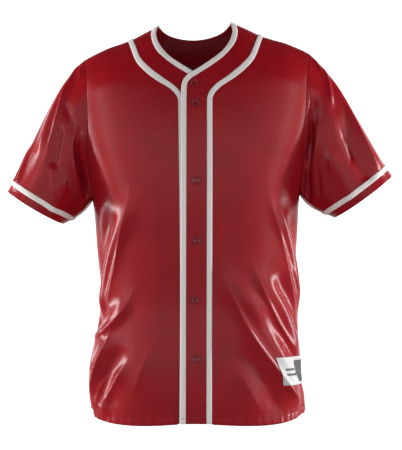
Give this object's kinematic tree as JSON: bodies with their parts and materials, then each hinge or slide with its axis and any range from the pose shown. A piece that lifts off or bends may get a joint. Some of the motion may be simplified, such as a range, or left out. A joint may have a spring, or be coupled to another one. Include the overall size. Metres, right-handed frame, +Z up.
{
  "type": "short-sleeved baseball jersey",
  "caption": "Collarless short-sleeved button-front jersey with a V neck, flat braid round the neck, opening and cuffs, and a blank hem patch, filled out hollow as if worn.",
  "frame": {"origin": "midway between the two neck points, on the line of the shoulders, where the wearer's shoulders carry it", "axes": "+X to the wearer's left, +Y to the back, +Z up"},
  "size_m": [0.7142, 0.2555, 0.7403],
  "materials": {
    "red_knit": "smooth shiny polyester knit",
    "braid": "flat off-white braid",
    "button": "dished gloss plastic dyed to match",
    "patch": "pale woven patch"
  },
  "bodies": {
    "root": {"front_left": "red_knit", "front_right": "red_knit", "back": "red_knit", "sleeve_left": "red_knit", "sleeve_right": "red_knit", "placket_left": "red_knit", "placket_right": "red_knit", "neck_back": "red_knit", "edge_braid_left": "braid", "edge_braid_right": "braid", "edge_braid_back": "braid", "outer_braid_left": "braid", "outer_braid_right": "braid", "outer_braid_back": "braid", "cuff_braid_left": "braid", "cuff_braid_right": "braid", "button_1": "button", "button_2": "button", "button_3": "button", "button_4": "button", "button_5": "button", "button_6": "button", "hem_patch": "patch"}
  },
  "joints": []
}
